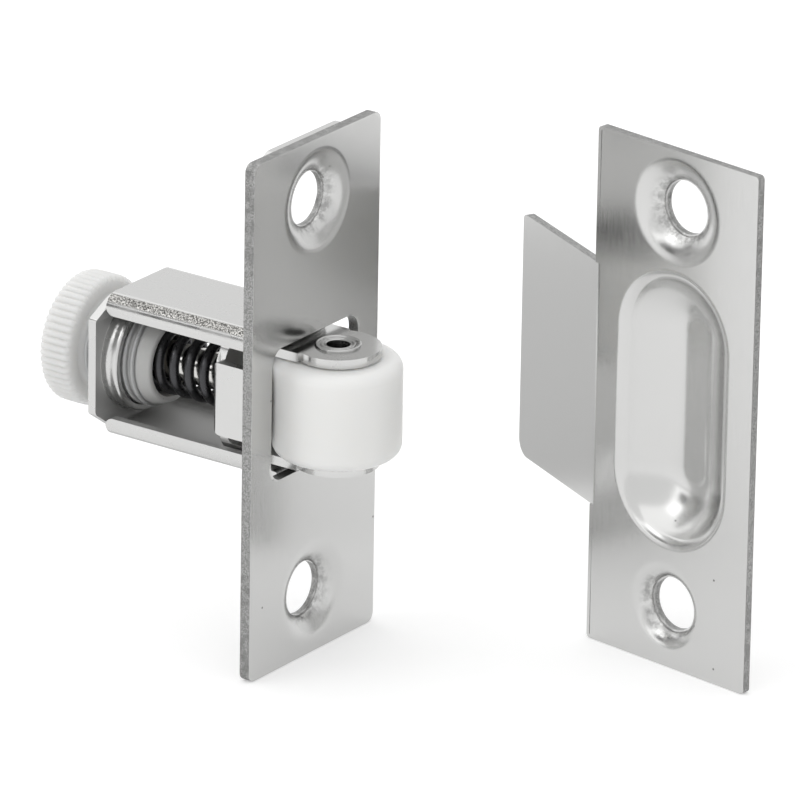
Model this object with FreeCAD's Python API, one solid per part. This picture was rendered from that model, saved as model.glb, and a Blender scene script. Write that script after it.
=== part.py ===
import FreeCAD, Part
import math
import os

# Roller catch, millimetres. +X is the way the roller projects, +Y runs across the face plate,
# +Z is up. The origin lies midway between the face plate's screw holes, in their walls, which is
# a datum depth behind the face plate's front. Each piece is made with that front at x = 0.

# Both plates
datum_depth = 1.75
plate_height = 57.15
plate_width = 22.2
plate_corner = 1.0
screw_hole_d = 5.75
dimple_shoulder = 1.6
dimple_rim = 1.0
dimple_back_growth = 0.45
dimple_lip_share = 0.85
hole_edge = 0.1

# Face plate, flat steel with pressed countersinks
plate_thick = 1.2
edge_roll = 0.25
slot_width = 15.2
slot_height = 14.6
slot_corner = 1.8
screw_inset = 6.875
catch_dimple_d = 9.6
catch_dimple_depth = 1.3

# Frame, one strap folded into a U with a foot at each end
strap_thick = 0.95
strap_width = 14.2
arms_height = 15.88
arms_width = 12.0
arm_end = 22.7
back_face = 24.1
back_height = 10.6
side_bend = 1.7
side_drop = 2.2
side_end_corner = 1.0
side_front_corner = 0.5
foot_bend = 0.8
back_bend = 0.5
foot_short = 0.15
foot_corner = 1.5
bend_relief = 0.25
relief_corner = 0.3
dimple_gap = 0.3

# Drawn and tapped collar in the frame's back
collar_wall = 0.75
collar_bore_d = 10.9
collar_front = 21.1
collar_edge = 0.3
bore_entry = 0.5

# Adjusting knob, moulded nylon with a hollow shank
shank_gap = 0.3
shank_nose = 18.0
nose_length = 1.3
nose_d = 9.2
nose_edge = 0.3
disc_front = 26.9
disc_back = 30.7
disc_undersize = 0.0
disc_edge = 0.7
shank_root = 0.5
knurl_count = 40
knurl_depth = 0.35
spring_seat = 24.5
rear_recess = 2.0
bore_edge = 0.2
rod_gap = 0.3
head_gap = 0.6

# Compression spring, closed and ground at both ends
spring_d = 7.4
wire_d = 1.1
coils = 8.7
end_coils = 1.0
closed_gap = 0.07
ground_share = 0.35
pocket_gap = 0.3

# Roller carriage, a cross-shaped blank folded to two ears and two cheeks
yoke_thick = 1.0
ear_gap = 11.0
ear_width = 9.2
ear_bend = 0.8
ear_head_d = 9.1
ear_step_x = 1.1
web_back = 8.8
cheek_width = 13.2
cheek_height = 8.0
cheek_front = 1.75
cheek_bend = 0.4
cheek_corner = 1.3
cheek_front_corner = 0.8
neck_reach = 0.95
neck_corner = 0.3

# Roller, pin and guide rod
pin_x = 2.9
roller_d = 13.6
roller_side_gap = 0.15
roller_edge = 1.3
pin_d = 3.8
pin_fit = 0.1
pin_bore_d = 2.5
pin_head_d = 4.9
pin_head = 0.3
pin_head_edge = 0.22
rod_d = 4.0
rod_head_d = 6.6
rod_head = 1.2
rod_head_edge = 0.4
stake_d = 5.0
stake_height = 0.5
stake_edge = 0.2

# Strike plate, one pressing with a trough and a lead-in lip
strike_x = 31.5
strike_y = 19.5
strike_yaw = -8.4
strike_thick = 0.95
strike_inset = 6.575
strike_dimple_d = 10.8
strike_dimple_depth = 1.5
trough_length = 30.6
trough_width = 15.2
trough_depth = 3.9
trough_shoulder = 1.2
lip_length = 16.5
lip_height = 27.0
lip_angle = 19.0
lip_bend = 1.0
lip_corner = 1.8

ORIGIN = FreeCAD.Vector(0, 0, 0)
X = FreeCAD.Vector(1, 0, 0)
Y = FreeCAD.Vector(0, 1, 0)
Z = FreeCAD.Vector(0, 0, 1)
beyond = 2 * plate_height


def on_xy(a, b):
    return FreeCAD.Vector(a, b, 0)


def on_xz(a, b):
    return FreeCAD.Vector(a, 0, b)


def on_yz(a, b):
    return FreeCAD.Vector(0, a, b)


def outline(points, place):
    """Flat face through points (a, b, corner radius)."""
    flat = [on_xy(a, b) for a, b, r in points]
    ends = []
    for i, here in enumerate(flat):
        r = points[i][2]
        if r <= 0:
            ends.append((here, None, here))
            continue
        before = (flat[i - 1] - here).normalize()
        after = (flat[(i + 1) % len(flat)] - here).normalize()
        half = before.getAngle(after) / 2
        reach = r / math.tan(half)
        centre = here + (before + after).normalize() * (r / math.sin(half))
        middle = centre + (here - centre).normalize() * r
        ends.append((here + before * reach, middle, here + after * reach))
    edges = []
    for i, (start, middle, stop) in enumerate(ends):
        follow = ends[(i + 1) % len(ends)][0]
        if middle is not None:
            edges.append(Part.Arc(place(start.x, start.y), place(middle.x, middle.y),
                                  place(stop.x, stop.y)).toShape())
        if (follow - stop).Length > 1e-6:
            edges.append(Part.makeLine(place(stop.x, stop.y), place(follow.x, follow.y)))
    return Part.Face(Part.Wire(edges))


def slab(points, place, direction, start, length):
    """Prism of an outline, from start along the direction."""
    shape = outline(points, place).extrude(direction * length)
    shape.translate(direction * start)
    return shape


def mirrored(points):
    """The points followed by their mirror image in b, in the order that closes the loop."""
    return points + [(a, -b, r) for a, b, r in points[::-1]]


def rectangle(half_a, half_b, corner):
    return [(-half_a, -half_b, corner), (half_a, -half_b, corner),
            (half_a, half_b, corner), (-half_a, half_b, corner)]


def sheet(path, thick):
    """Outline points of bent sheet along its middle line (a, b, inner bend radius)."""
    flat = [on_xy(a, b) for a, b, r in path]
    ways = [(flat[i + 1] - flat[i]).normalize() for i in range(len(flat) - 1)]
    sides = []
    for side in (1, -1):
        row = []
        for i, here in enumerate(flat):
            first = ways[max(i - 1, 0)]
            second = ways[min(i, len(ways) - 1)]
            n1 = on_xy(-first.y, first.x)
            n2 = on_xy(-second.y, second.x)
            spot = here + (n1 + n2) * (side * thick / 2 / (1 + n1.dot(n2)))
            turn = first.x * second.y - first.y * second.x
            inner = path[i][2]
            radius = 0
            if inner > 0:
                radius = inner if turn * side > 0 else inner + thick
            row.append((spot.x, spot.y, radius))
        sides.append(row)
    return sides[0] + sides[1][::-1]


def turned(points):
    """Solid turned about the X axis from points (x, radius, corner radius)."""
    return outline(points, on_xz).revolve(ORIGIN, X, 360)


def turned_upright(points, x):
    """Solid turned about an upright axis from points (radius, z, corner radius)."""
    shape = outline(points, on_xz).revolve(ORIGIN, Z, 360)
    shape.translate(X * x)
    return shape


def bar(radius, start, stop, z=0.0):
    return Part.makeCylinder(radius, stop - start, FreeCAD.Vector(start, 0, z), X)


def front_edges(shape):
    """Edges that lie in the plane x = 0."""
    return [e for e in shape.Edges if abs(e.BoundBox.XMin) < 1e-4 and abs(e.BoundBox.XMax) < 1e-4]


def dimpled(shape, thick, mouth_d, depth, inset):
    """Presses two countersunk screw holes into a plate whose front face is at x = 0."""
    mouth = mouth_d / 2
    hole = screw_hole_d / 2
    rim = mouth + dimple_rim
    back_mouth = mouth + thick * dimple_back_growth
    top = plate_height / 2 - inset
    for z in (top, -top):
        ring = turned([(0, rim, 0), (0, mouth, dimple_shoulder), (-depth, hole, hole_edge),
                       (-depth - thick * dimple_lip_share, hole, hole_edge),
                       (-thick, back_mouth, dimple_shoulder - dimple_rim), (-thick, rim, 0)])
        ring.translate(Z * z)
        shape = shape.cut(bar(rim, -beyond, beyond, z)).fuse(ring)
    return shape.removeSplitter()


def make_face_plate():
    plate = slab(rectangle(plate_width / 2, plate_height / 2, plate_corner), on_yz, X, -plate_thick, plate_thick)
    slot = slab(rectangle(slot_width / 2, slot_height / 2, slot_corner), on_yz, X, -beyond, 2 * beyond)
    plate = plate.cut(slot)
    plate = plate.makeFillet(edge_roll, front_edges(plate))
    return dimpled(plate, plate_thick, catch_dimple_d, catch_dimple_depth, screw_inset)


collar_outer_r = collar_bore_d / 2 + collar_wall
arm_top = arms_height / 2
arm_middle = arm_top - strap_thick / 2
back_inside = -back_face + strap_thick
flat_half = arms_width / 2 - side_bend


def strap_side_view():
    """Middle line of the strap: foot, arm, chamfer, back, chamfer, arm, foot."""
    foot_x = -plate_thick - strap_thick / 2
    foot_top = plate_height / 2 - foot_short
    back_x = -back_face + strap_thick / 2
    corner_x = -arm_end - strap_thick / 4
    corner_z = back_height / 2 - strap_thick / 4
    upper = [(foot_x, foot_top, 0), (foot_x, arm_middle, foot_bend), (corner_x, arm_middle, back_bend),
             (back_x, corner_z, back_bend)]
    return mirrored(upper)


def strap_front_view():
    """The strap's width seen along X: wide feet and back, narrow between the side bends."""
    full = strap_width / 2
    foot_top = plate_height / 2 - foot_short
    foot_low = arm_top + foot_bend + bend_relief
    side_start = arm_top - strap_thick / 2
    right = [(full, 0, 0), (full, back_height / 2, relief_corner), (flat_half, side_start, 0),
             (flat_half, foot_low, relief_corner), (full, foot_low, relief_corner), (full, foot_top, foot_corner)]
    left = [(-a, b, r) for a, b, r in right[:0:-1]]
    upper = right[1:] + left
    return upper + [(-a, -b, r) for a, b, r in upper]


def make_rolled_side():
    """The upper arm's section with both long edges rolled in, rounded where it starts."""
    side_middle = arms_width / 2 - strap_thick / 2
    edge = arm_top - side_drop
    front = plate_thick + strap_thick + foot_bend
    inner = side_bend - strap_thick
    path = [(-side_middle, 0, 0), (-side_middle, arm_middle, inner), (side_middle, arm_middle, inner),
            (side_middle, 0, 0)]
    channel = slab(sheet(path, strap_thick), on_yz, X, -arm_end, arm_end - front)
    keep = [(-arm_end, arms_height, 0), (-front, arms_height, 0), (-front, edge, side_front_corner),
            (-arm_end, edge, side_end_corner)]
    return channel.common(slab(keep, on_xz, Y, -strap_width, 2 * strap_width))


def make_collar():
    outer = collar_outer_r
    inner = collar_bore_d / 2
    ring = turned([(-back_face, inner, bore_entry), (-collar_front, inner, collar_edge / 2),
                   (-collar_front, outer, collar_edge), (-back_face, outer, 0)])
    slope = (arm_top - back_height / 2) / (back_face - arm_end)
    reach = back_face - collar_front
    inside = [(-back_face, back_height / 2, 0), (-collar_front, back_height / 2 + slope * reach, 0)]
    return ring.common(slab(mirrored(inside), on_xz, Y, -strap_width, 2 * strap_width))


def make_housing_frame():
    strap = slab(sheet(strap_side_view(), strap_thick), on_xz, Y, -strap_width / 2, strap_width)
    strap = strap.common(slab(strap_front_view(), on_yz, X, -beyond, 2 * beyond))
    strap = strap.cut(bar(collar_outer_r, -beyond, -collar_front))
    upper = make_rolled_side()
    lower = upper.mirror(ORIGIN, Z)
    frame = strap.multiFuse([upper, lower, make_collar()])
    nest = catch_dimple_d / 2 + plate_thick * dimple_back_growth + dimple_gap
    top = plate_height / 2 - screw_inset
    for z in (top, -top):
        frame = frame.cut(bar(nest, -plate_thick - 2 * strap_thick, beyond, z))
    return frame.removeSplitter()


shank_r = collar_bore_d / 2 - shank_gap
pocket_r = spring_d / 2 + pocket_gap
disc_r = strap_width / 2 - disc_undersize
rod_r = rod_d / 2
recess_floor = -disc_back + rear_recess


def make_knurl():
    """A bar with rounded ribs along it, as long as the knob."""
    rim = disc_r
    root = rim - knurl_depth
    ribs = []
    for k in range(knurl_count):
        spots = []
        for share, r in ((0, root), (0.5, rim), (1, root)):
            angle = 2 * math.pi * (k + share) / knurl_count
            spots.append(FreeCAD.Vector(-disc_back, r * math.cos(angle), r * math.sin(angle)))
        ribs.append(Part.Arc(*spots).toShape())
    return Part.Face(Part.Wire(ribs)).extrude(X * (disc_back - shank_nose))


def make_adjusting_knob():
    nose_r = nose_d / 2
    through_r = rod_r + rod_gap
    recess_r = rod_head_d / 2 + head_gap
    step = (shank_r + nose_r) / 2
    body = turned([(-disc_back, recess_r, nose_edge), (-disc_back, disc_r, disc_edge),
                   (-disc_front, disc_r, disc_edge), (-disc_front, shank_r, shank_root),
                   (-shank_nose - nose_length, shank_r, nose_edge), (-shank_nose - nose_length / 2, step, 0),
                   (-shank_nose, nose_r, nose_edge), (-shank_nose, pocket_r, bore_edge),
                   (-spring_seat, pocket_r, bore_edge), (-spring_seat, through_r, bore_edge),
                   (recess_floor, through_r, bore_edge), (recess_floor, recess_r, bore_edge)])
    return body.common(make_knurl())


def spring_line(length, ground):
    """Middle line of the wire, with close turns at both ends and open ones between."""
    closed = wire_d + closed_gap
    travel = length + 2 * ground - wire_d
    opened = (travel - 2 * end_coils * closed) / (coils - 2 * end_coils)
    mean_r = (spring_d - wire_d) / 2
    steps = int(coils * 16)
    x = -spring_seat - ground + wire_d / 2
    spots = []
    for k in range(steps + 1):
        turns = coils * k / steps
        angle = 2 * math.pi * turns
        spots.append(FreeCAD.Vector(x, -mean_r * math.cos(angle), mean_r * math.sin(angle)))
        ramp = 2 * (min(turns, coils - turns) - end_coils) + 0.5
        x += (closed + (opened - closed) * min(1.0, max(0.0, ramp))) * coils / steps
    line = Part.BSplineCurve()
    line.interpolate(spots)
    return line


def make_compression_spring():
    length = spring_seat - web_back
    ground = wire_d * ground_share
    line = spring_line(length, ground)
    start = line.value(line.FirstParameter)
    way = line.tangent(line.FirstParameter)[0]
    pipe = Part.BRepOffsetAPI.MakePipeShell(Part.Wire([line.toShape()]))
    pipe.setFrenetMode(True)
    pipe.add(Part.Wire([Part.makeCircle(wire_d / 2, start, way)]))
    pipe.build()
    pipe.makeSolid()
    room = bar(spring_d, -spring_seat, -web_back)
    return pipe.shape().common(room)


def make_roller_yoke():
    web_x = -web_back + yoke_thick / 2
    ear_z = (ear_gap + yoke_thick) / 2
    ear_half = ear_width / 2
    tip = pin_x + ear_head_d / 2
    ears = slab(sheet(mirrored([(tip, ear_z, 0), (web_x, ear_z, ear_bend)]), yoke_thick),
                on_xz, Y, -ear_half, ear_width)
    plan = slab([(-beyond, -ear_half, 0), (ear_step_x, -ear_half, 0), (ear_step_x, ear_half, 0),
                 (-beyond, ear_half, 0)], on_xy, Z, -beyond, 2 * beyond)
    heads = Part.makeCylinder(ear_head_d / 2, 2 * beyond, FreeCAD.Vector(pin_x, 0, -beyond), Z)
    ears = ears.common(plan.fuse(heads))

    cheek_y = (cheek_width - yoke_thick) / 2
    cheek_z = cheek_height / 2
    cheeks = slab(sheet(mirrored([(-cheek_front, cheek_y, 0), (web_x, cheek_y, cheek_bend)]), yoke_thick),
                  on_xy, Z, -cheek_z, cheek_height)
    side_view = slab(mirrored([(-web_back, cheek_z, cheek_corner), (-cheek_front, cheek_z, cheek_front_corner)]),
                     on_xz, Y, -beyond, 2 * beyond)
    shoulder = ear_half + cheek_bend + neck_corner
    neck = slab([(-shoulder, -cheek_z + neck_corner, 0), (-ear_half, -cheek_z - neck_reach, 0),
                 (ear_half, -cheek_z - neck_reach, 0), (shoulder, -cheek_z + neck_corner, 0),
                 (shoulder, cheek_z - neck_corner, 0), (ear_half, cheek_z + neck_reach, 0),
                 (-ear_half, cheek_z + neck_reach, 0), (-shoulder, cheek_z - neck_corner, 0)],
                on_yz, X, -web_back, yoke_thick)
    yoke = ears.multiFuse([cheeks.common(side_view), neck])
    yoke = yoke.cut(bar(rod_r, -beyond, 0))
    pin_hole = Part.makeCylinder(pin_d / 2, 2 * beyond, FreeCAD.Vector(pin_x, 0, -beyond), Z)
    return yoke.cut(pin_hole).removeSplitter()


def make_guide_rod():
    """Staked in the web, headed in the knob's rear recess."""
    head_r = rod_head_d / 2
    stake_r = stake_d / 2
    front = -web_back + yoke_thick
    return turned([(recess_floor - rod_head, 0, 0), (recess_floor - rod_head, head_r, rod_head_edge),
                   (recess_floor, head_r, bore_edge), (recess_floor, rod_r, 0), (front, rod_r, 0),
                   (front, stake_r, stake_edge), (front + stake_height, stake_r, stake_edge),
                   (front + stake_height, 0, 0)])


def make_roller():
    bore = pin_d / 2 + pin_fit
    half = ear_gap / 2 - roller_side_gap
    return turned_upright([(bore, -half, bore_edge), (roller_d / 2, -half, roller_edge),
                           (roller_d / 2, half, roller_edge), (bore, half, bore_edge)], pin_x)


def make_roller_pin():
    """A hollow rivet rolled over both ears."""
    bore = pin_bore_d / 2
    head = pin_head_d / 2
    shaft = pin_d / 2
    ear_out = ear_gap / 2 + yoke_thick
    top = ear_out + pin_head
    half = [(bore, top, pin_head_edge), (head, top, pin_head_edge), (head, ear_out, 0), (shaft, ear_out, 0)]
    return turned_upright(mirrored(half), pin_x)


def trough_section():
    """Middle line of the trough's sheet, from its floor to the flat (depth, half width, bend)."""
    half = trough_width / 2
    slope = 2 * math.atan(trough_depth / half)
    rise = math.tan(slope / 2)
    shift = strike_thick / 2 * rise
    floor = -trough_depth - strike_thick / 2
    floor_r = trough_depth / math.sin(slope) / rise - trough_shoulder
    return [(floor, 0, 0), (floor, half - trough_depth / math.tan(slope) + shift, floor_r),
            (-strike_thick / 2, half + shift, trough_shoulder - strike_thick),
            (-strike_thick / 2, half + trough_shoulder, 0)]


def with_trough(plate):
    """Presses a round-ended trough into a plate whose front face is at x = 0."""
    section = trough_section()
    rim = section[-1][1]
    run = (trough_length - trough_width) / 2
    middle = [(a, -b, r) for a, b, r in section[:0:-1]] + section[1:]
    trough = slab(sheet(middle, strike_thick), on_xy, Z, -run, 2 * run)
    end = outline(sheet(section, strike_thick), on_xy).revolve(ORIGIN, X, 180)
    end.translate(Z * run)
    plate = plate.cut(slab(rectangle(rim, run + rim, rim), on_yz, X, -beyond, 2 * beyond))
    return plate.multiFuse([trough, end, end.mirror(ORIGIN, Z)]).removeSplitter()


def make_strike_plate():
    """Drawn like the face plate, with its front face at x = 0, then turned into place."""
    half_w = plate_width / 2
    strike = slab(rectangle(half_w, plate_height / 2, plate_corner), on_yz, X, -strike_thick, strike_thick)

    angle = math.radians(lip_angle)
    bend_y = -half_w + lip_bend / 2
    end_x = -strike_thick / 2 - lip_length * math.sin(angle)
    end_y = bend_y - lip_length * math.cos(angle)
    path = [(-strike_thick / 2, bend_y + lip_bend, 0), (-strike_thick / 2, bend_y, lip_bend), (end_x, end_y, 0)]
    lip = slab(sheet(path, strike_thick), on_xy, Z, -lip_height / 2, lip_height)
    lip_view = [(end_y, -lip_height / 2, lip_corner), (0, -lip_height / 2, 0),
                (0, lip_height / 2, 0), (end_y, lip_height / 2, lip_corner)]
    strike = strike.fuse(lip.common(slab(lip_view, on_yz, X, -beyond, 2 * beyond)))
    strike = with_trough(strike)
    strike = dimpled(strike, strike_thick, strike_dimple_d, strike_dimple_depth, strike_inset)
    strike.rotate(ORIGIN, Z, strike_yaw - 90)
    strike.translate(FreeCAD.Vector(strike_x, strike_y, 0))
    return strike


nodes = {
    "face_plate": make_face_plate(),
    "housing_frame": make_housing_frame(),
    "adjusting_knob": make_adjusting_knob(),
    "compression_spring": make_compression_spring(),
    "roller_yoke": make_roller_yoke(),
    "guide_rod": make_guide_rod(),
    "roller": make_roller(),
    "roller_pin": make_roller_pin(),
    "strike_plate": make_strike_plate(),
}
os.makedirs("parts", exist_ok=True)
for name, shape in nodes.items():
    shape.translate(X * datum_depth)
    shape.Solids[0].exportStep("parts/" + name + ".step")
    box = shape.BoundBox
    print(name, len(shape.Solids), shape.isValid(), "volume", round(shape.Volume, 1),
          "from", [round(v, 2) for v in (box.XMin, box.YMin, box.ZMin)],
          "to", [round(v, 2) for v in (box.XMax, box.YMax, box.ZMax)])
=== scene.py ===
# %% [markdown]
# # A roller catch and its strike plate
# The catch sits in the edge of a door. A nylon roller on a sprung yoke looks out through the slot of a
# face plate, and drops into the trough of the strike plate when the door shuts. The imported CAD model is
# the fixed frame: it says where everything is, and each new piece takes the place of one of its nodes.
# The frame's origin lies between the face plate's screw holes, 1.75 mm behind the plate's front. Shapes
# are drawn here in millimetres from the front of the plate, and then moved forward by that much.

# %% Open the frame
import math
import bmesh
import bpy
from mathutils import Matrix, Vector


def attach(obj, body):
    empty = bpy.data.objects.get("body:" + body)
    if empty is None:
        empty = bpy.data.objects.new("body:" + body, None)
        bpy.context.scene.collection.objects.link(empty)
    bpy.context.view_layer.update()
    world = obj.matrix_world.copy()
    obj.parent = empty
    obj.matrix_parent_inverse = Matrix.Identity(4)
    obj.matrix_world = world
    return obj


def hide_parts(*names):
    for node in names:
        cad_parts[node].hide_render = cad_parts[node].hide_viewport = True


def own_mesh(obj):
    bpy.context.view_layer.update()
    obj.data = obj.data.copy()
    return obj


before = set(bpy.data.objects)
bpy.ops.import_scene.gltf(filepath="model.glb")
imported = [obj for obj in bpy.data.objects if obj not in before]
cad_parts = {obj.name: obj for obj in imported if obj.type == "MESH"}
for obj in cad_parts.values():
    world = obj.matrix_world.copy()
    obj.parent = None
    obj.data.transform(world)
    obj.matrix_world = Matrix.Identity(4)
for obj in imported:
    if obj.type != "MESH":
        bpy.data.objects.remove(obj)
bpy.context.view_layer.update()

MM = 0.001
plate_front = 1.75
print("CAD nodes:", sorted(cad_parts))

# %% [markdown]
# ## The camera
# A camera that stands close stretches what is near it. A long lens far away flattens the perspective, as
# product photographers like it, so one is used here. Its angles come from fitting the plates' known
# corners and holes. It looks at a point a little beside the origin, so that both halves fill the frame.

# %% Place the camera
azimuth = math.radians(35.57)
elevation = math.radians(21.055)
roll = math.radians(0.8)
distance = 1039 * MM
aim_right = 8.857 * MM
aim_up = -0.27 * MM
back = Vector((math.sin(azimuth) * math.cos(elevation), -math.cos(azimuth) * math.cos(elevation),
               math.sin(elevation)))
level = Vector((math.cos(azimuth), math.sin(azimuth), 0))
rise = back.cross(level)
right = math.cos(roll) * level + math.sin(roll) * rise
up = math.cos(roll) * rise - math.sin(roll) * level
stand = back * distance + Vector((plate_front, 0, 0)) * MM
away = (back * distance - right * aim_right - up * aim_up).normalized()
side = up.cross(away).normalized()
turned = Matrix((side, away.cross(side), away)).transposed().to_4x4()

camera = bpy.data.objects.new("camera", bpy.data.cameras.new("camera"))
camera.data.lens = 450
camera.data.sensor_width = 36
camera.data.clip_start = 0.05
camera.data.clip_end = 50
camera.matrix_world = Matrix.Translation(stand) @ turned
bpy.context.scene.collection.objects.link(camera)
bpy.context.scene.camera = camera
print("camera stands", [round(v, 3) for v in stand])

# %% [markdown]
# ## Small tools for finishes
# A finish is a tree of nodes. It could be wired by hand in the editor, but in code it can be read and
# repeated. Colours are written as web colours and turned to the linear values that the renderer works
# with. One helper adds a node, sets its options and fills or links its sockets. Sockets go by name, or by
# number where a name is used twice. On Map Range, 1 and 2 are the range that goes in, 3 and 4 the range
# that comes out. On Mix, 0 is the share, 2 and 3 are the two numbers and 6 and 7 the two colours.

# %% Colour and node helpers
def linear(web):
    """A colour such as #c9c7c2 as linear red, green, blue and alpha."""
    parts = [int(web[i:i + 2], 16) / 255 for i in (1, 3, 5)]
    return [c / 12.92 if c <= 0.04045 else ((c + 0.055) / 1.055) ** 2.4 for c in parts] + [1.0]


def add_node(tree, kind, sockets=None, **options):
    """Adds a node; sockets maps a name or number to a value, or to the output that feeds it."""
    node = tree.nodes.new(kind)
    for name, value in options.items():
        setattr(node, name, value)
    for key, value in (sockets or {}).items():
        if isinstance(value, bpy.types.NodeSocket):
            tree.links.new(value, node.inputs[key])
        else:
            node.inputs[key].default_value = value
    return node


def new_finish(name, web, metallic, roughness):
    """A material with its Principled shader set, its tree and its texture coordinates."""
    finish = bpy.data.materials.new(name)
    finish.use_nodes = True
    tree = finish.node_tree
    shader = tree.nodes["Principled BSDF"]
    shader.inputs["Base Color"].default_value = linear(web)
    shader.inputs["Metallic"].default_value = metallic
    shader.inputs["Roughness"].default_value = roughness
    place = add_node(tree, "ShaderNodeTexCoord")
    return finish, tree, shader, place


def per_mm(size):
    """The texture scale that makes a pattern repeat about every so many millimetres."""
    return 1 / (size * MM)


print("white is", linear("#ffffff"))

# %% [markdown]
# ## Bright plated steel
# Both plates are cold-rolled steel, polished and plated, which gives a clear, slightly soft mirror. The
# press leaves a faint waviness, the polishing a fine grain, and dust a few tiny pits. The punch scuffs the
# cones round the screw holes, and the sheet is a little softer where it was drawn in. The sheared edges
# stay rough. All this could be painted on, but masks made from the surface's own direction and place find
# it by themselves, and they hold from every side.

# %% Masks on a plated sheet
def sheet_masks(tree, place, front):
    """How squarely the surface faces front, from 0 to 1, the sheared edges, and the screw holes' cones.

    Squareness is the cosine of the angle to the front, and the cones lie in the plate's two ends.
    """
    facing = add_node(tree, "ShaderNodeVectorMath", {0: place.outputs["Normal"], 1: front},
                      operation="DOT_PRODUCT")
    square_on = add_node(tree, "ShaderNodeMath", {0: facing.outputs["Value"]}, operation="ABSOLUTE")
    edge = add_node(tree, "ShaderNodeMapRange", {0: square_on.outputs[0], 1: 0.05, 2: 0.3, 3: 1.0, 4: 0.0})
    spot = add_node(tree, "ShaderNodeSeparateXYZ", {0: place.outputs["Object"]})
    height = add_node(tree, "ShaderNodeMath", {0: spot.outputs[2]}, operation="ABSOLUTE")
    ends = add_node(tree, "ShaderNodeMapRange", {0: height.outputs[0], 1: 16.4 * MM, 2: 16.6 * MM})
    sloped = add_node(tree, "ShaderNodeMapRange", {0: square_on.outputs[0], 1: 0.92, 2: 0.78})
    cone = add_node(tree, "ShaderNodeMath", {0: ends.outputs[0], 1: sloped.outputs[0]}, operation="MULTIPLY")
    return square_on.outputs[0], edge.outputs[0], cone.outputs[0]


print("masks for edges and cones")

# %% Plated sheet finish
pit_web = "#3a3937"
scuffed_web = "#8a8a89"
sheared_web = "#727271"
sheared_roughness = 0.42
along_the_plate = (1, 1, 0.12)


def plated_sheet(name, web, front, roughness):
    """Polished plating: a soft mirror that keeps the marks of the press, the punch and the shears."""
    finish, tree, shader, place = new_finish(name, web, 1.0, roughness)
    here = place.outputs["Object"]
    square_on, edge, cone = sheet_masks(tree, place, front)

    # The polishing lines run along the plate. They are too fine to show, so they are drawn 0.25 mm apart.
    wave = add_node(tree, "ShaderNodeTexNoise", {"Vector": here, "Scale": per_mm(9), "Detail": 1.0})
    stretch = add_node(tree, "ShaderNodeMapping", {"Vector": here, "Scale": along_the_plate})
    grain = add_node(tree, "ShaderNodeTexNoise", {"Vector": stretch.outputs[0], "Scale": per_mm(0.25),
                                                  "Detail": 3.0})
    shear = add_node(tree, "ShaderNodeTexNoise", {"Vector": here, "Scale": per_mm(0.14), "Detail": 2.0})
    punch = add_node(tree, "ShaderNodeTexNoise", {"Vector": here, "Scale": per_mm(0.9), "Detail": 4.0,
                                                  "Roughness": 0.65})
    cell = add_node(tree, "ShaderNodeTexVoronoi", {"Vector": here, "Scale": per_mm(5)})

    soft = add_node(tree, "ShaderNodeMapRange", {0: grain.outputs[0], 1: 0.3, 2: 0.7,
                                                 3: roughness - 0.01, 4: roughness + 0.03})
    drawn_in = add_node(tree, "ShaderNodeMapRange", {0: square_on, 1: 0.995, 2: 0.9, 3: 0.0, 4: 0.05})
    pressed = add_node(tree, "ShaderNodeMath", {0: soft.outputs[0], 1: drawn_in.outputs[0]}, operation="ADD")
    gloss = add_node(tree, "ShaderNodeMix", {0: edge, 2: pressed.outputs[0], 3: sheared_roughness})
    tree.links.new(gloss.outputs[0], shader.inputs["Roughness"])

    pit = add_node(tree, "ShaderNodeMapRange", {0: cell.outputs["Distance"], 1: 0.018, 2: 0.03,
                                                3: 0.75, 4: 0.0})
    scuff = add_node(tree, "ShaderNodeMapRange", {0: punch.outputs[0], 1: 0.42, 2: 0.62, 3: 0.0, 4: 0.7})
    scuffed = add_node(tree, "ShaderNodeMath", {0: scuff.outputs[0], 1: cone}, operation="MULTIPLY")
    worn = add_node(tree, "ShaderNodeMapRange", {0: shear.outputs[0], 1: 0.35, 2: 0.65, 3: 0.4, 4: 0.95})
    sheared = add_node(tree, "ShaderNodeMath", {0: worn.outputs[0], 1: edge}, operation="MULTIPLY")
    tone = linear(web)
    for share, mark in ((pit, pit_web), (scuffed, scuffed_web), (sheared, sheared_web)):
        tone = add_node(tree, "ShaderNodeMix", {0: share.outputs[0], 6: tone, 7: linear(mark)},
                        data_type="RGBA").outputs[2]
    tree.links.new(tone, shader.inputs["Base Color"])

    slow = add_node(tree, "ShaderNodeBump", {"Strength": 0.35, "Distance": 0.02 * MM,
                                             "Height": wave.outputs[0]})
    fine = add_node(tree, "ShaderNodeBump", {"Strength": 0.14, "Distance": 0.002 * MM,
                                             "Height": grain.outputs[0], "Normal": slow.outputs[0]})
    cut = add_node(tree, "ShaderNodeMath", {0: shear.outputs[0], 1: edge}, operation="MULTIPLY")
    rough = add_node(tree, "ShaderNodeBump", {"Strength": 0.5, "Distance": 0.03 * MM,
                                              "Height": cut.outputs[0], "Normal": fine.outputs[0]})
    drag = add_node(tree, "ShaderNodeMath", {0: punch.outputs[0], 1: cone}, operation="MULTIPLY")
    dragged = add_node(tree, "ShaderNodeBump", {"Strength": 0.5, "Distance": 0.06 * MM,
                                                "Height": drag.outputs[0], "Normal": rough.outputs[0]})
    tree.links.new(dragged.outputs[0], shader.inputs["Normal"])
    return finish


strike_stands = (31.5, 19.5, 0)
strike_turned = math.radians(-98.4)
strike_turn = Matrix.Translation(strike_stands) @ Matrix.Rotation(strike_turned, 4, "Z")
strike_front = strike_turn.to_3x3() @ Vector((1, 0, 0))
face_finish = plated_sheet("plated_steel_face", "#c9c9c8", (1, 0, 0), 0.17)
strike_finish = plated_sheet("plated_steel_strike", "#cbcbca", strike_front, 0.17)
print("plated finishes:", face_finish.name, strike_finish.name)

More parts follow.
